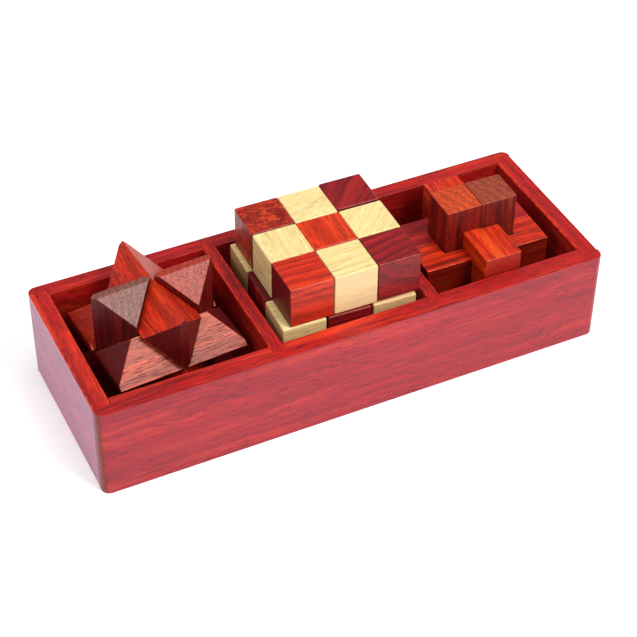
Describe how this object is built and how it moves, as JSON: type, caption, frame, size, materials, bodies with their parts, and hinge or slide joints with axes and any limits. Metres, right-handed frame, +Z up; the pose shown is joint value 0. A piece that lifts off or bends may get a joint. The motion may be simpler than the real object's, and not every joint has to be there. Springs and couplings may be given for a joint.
{
  "type": "boxed wooden puzzle set",
  "caption": "Open wooden tray with three compartments holding an interlocking star, a snake cube of 27 bored cubelets and a burr with a sliding key bar.",
  "frame": {"origin": "middle of the tray's underside", "axes": "+X along the tray, from the star to the burr; +Y to the back wall; +Z up"},
  "size_m": [0.2346, 0.0856, 0.0668],
  "materials": {
    "tray_wood": "oiled red hardwood",
    "red_wood": "polished red hardwood",
    "pale_wood": "polished pale hardwood"
  },
  "bodies": {
    "tray": {"front_wall": "tray_wood", "back_wall": "tray_wood", "left_end": "tray_wood", "right_end": "tray_wood", "left_divider": "tray_wood", "right_divider": "tray_wood", "base_panel": "tray_wood"},
    "star_base": {"star_bottom": "red_wood"},
    "star_cap": {"star_top": "red_wood"},
    "star_left_piece": {"star_left": "red_wood"},
    "star_right_piece": {"star_right": "red_wood"},
    "star_front_piece": {"star_front": "red_wood"},
    "star_back_piece": {"star_back": "red_wood"},
    "cube_bottom": {"cubelet_01": "red_wood", "cubelet_02": "pale_wood", "cubelet_03": "red_wood", "cubelet_04": "pale_wood", "cubelet_05": "red_wood", "cubelet_06": "pale_wood", "cubelet_07": "red_wood", "cubelet_08": "pale_wood", "cubelet_09": "red_wood"},
    "cube_middle": {"cubelet_10": "pale_wood", "cubelet_11": "red_wood", "cubelet_12": "pale_wood", "cubelet_13": "red_wood", "cubelet_14": "pale_wood", "cubelet_15": "red_wood", "cubelet_16": "pale_wood", "cubelet_17": "red_wood", "cubelet_18": "pale_wood"},
    "cube_top": {"cubelet_19": "red_wood", "cubelet_20": "pale_wood", "cubelet_21": "red_wood", "cubelet_22": "pale_wood", "cubelet_23": "red_wood", "cubelet_24": "pale_wood", "cubelet_25": "red_wood", "cubelet_26": "pale_wood", "cubelet_27": "red_wood"},
    "burr": {"burr_front_bar": "red_wood", "burr_back_bar": "red_wood", "burr_lower_bar": "red_wood", "burr_upper_bar": "red_wood", "burr_left_bar": "red_wood"},
    "burr_key": {"burr_key_bar": "red_wood"}
  },
  "joints": [
    {"name": "star_lift", "type": "slide", "parent": "tray", "child": "star_base", "axis": [0, -0.1289, 0.9917], "range_m": [0, 0.16]},
    {"name": "star_top_opens", "type": "slide", "parent": "star_base", "child": "star_cap", "axis": [0, 0, 1], "range_m": [0, 0.0385]},
    {"name": "star_left_opens", "type": "slide", "parent": "star_base", "child": "star_left_piece", "axis": [-0.7052, -0.0518, 0.7071], "range_m": [0, 0.0273]},
    {"name": "star_right_opens", "type": "slide", "parent": "star_base", "child": "star_right_piece", "axis": [0.7052, 0.0518, 0.7071], "range_m": [0, 0.0273]},
    {"name": "star_front_opens", "type": "slide", "parent": "star_base", "child": "star_front_piece", "axis": [0.0518, -0.7052, 0.7071], "range_m": [0, 0.0273]},
    {"name": "star_back_opens", "type": "slide", "parent": "star_base", "child": "star_back_piece", "axis": [-0.0518, 0.7052, 0.7071], "range_m": [0, 0.0273]},
    {"name": "cube_lift", "type": "slide", "parent": "tray", "child": "cube_bottom", "axis": [0, 0, 1], "range_m": [0, 0.08]},
    {"name": "cube_middle_turn", "type": "hinge", "parent": "cube_bottom", "child": "cube_middle", "pos_m": [0.02281, 0.01934, 0.0266], "axis": [0, 0, 1], "range_deg": [-2, 4]},
    {"name": "cube_top_turn", "type": "hinge", "parent": "cube_middle", "child": "cube_top", "pos_m": [-0.01861, -0.01987, 0.0466], "axis": [0, 0, 1], "range_deg": [-110, 0]},
    {"name": "burr_lift", "type": "slide", "parent": "tray", "child": "burr", "axis": [0, 0, 1], "range_m": [0, 0.08]},
    {"name": "burr_key_slide", "type": "slide", "parent": "burr", "child": "burr_key", "axis": [0, 0, 1], "range_m": [0, 0.07]}
  ],
  "couplings": [
    {"joint": "star_top_opens", "follows": "star_lift", "ratio": 0.24042},
    {"joint": "star_left_opens", "follows": "star_lift", "ratio": 0.17},
    {"joint": "star_right_opens", "follows": "star_lift", "ratio": 0.17},
    {"joint": "star_front_opens", "follows": "star_lift", "ratio": 0.17},
    {"joint": "star_back_opens", "follows": "star_lift", "ratio": 0.17}
  ]
}
